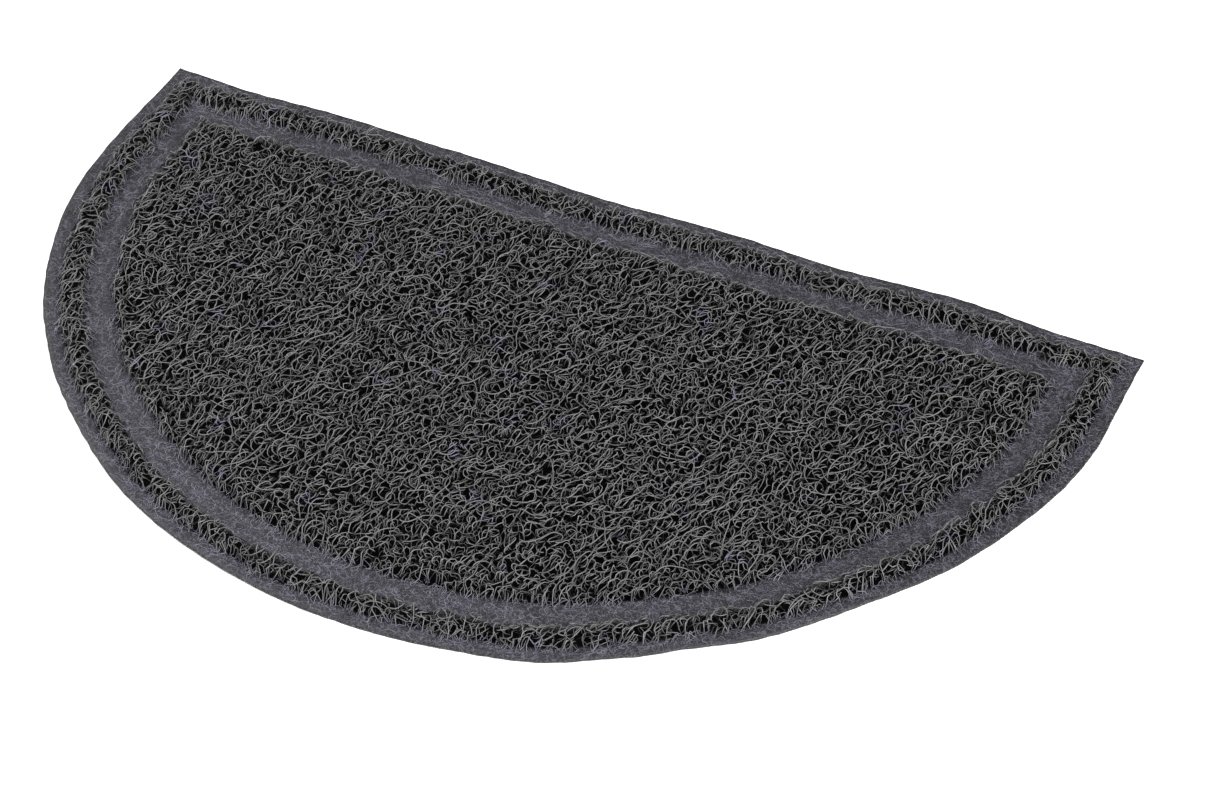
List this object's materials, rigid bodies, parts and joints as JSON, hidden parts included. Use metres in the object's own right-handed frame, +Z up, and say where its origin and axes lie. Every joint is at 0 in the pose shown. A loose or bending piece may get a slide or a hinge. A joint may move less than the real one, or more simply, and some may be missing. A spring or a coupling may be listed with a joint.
{
  "type": "half round loop mat",
  "caption": "Half-round doormat of looped soft vinyl, with a pressed flat rim, a raised ring, a pressed channel and a raised field.",
  "frame": {"origin": "middle of the mat's box, on the surface that it lies on", "axes": "+X along the straight back edge, -Y towards the round front, +Z up through the thickness"},
  "size_m": [0.6018, 0.3614, 0.0099],
  "materials": {
    "loop_vinyl": "soft dark grey vinyl with a dull shine, in fine open loops, pressed flat in the rim and channel"
  },
  "bodies": {
    "root": {"mat": "loop_vinyl"}
  },
  "joints": []
}
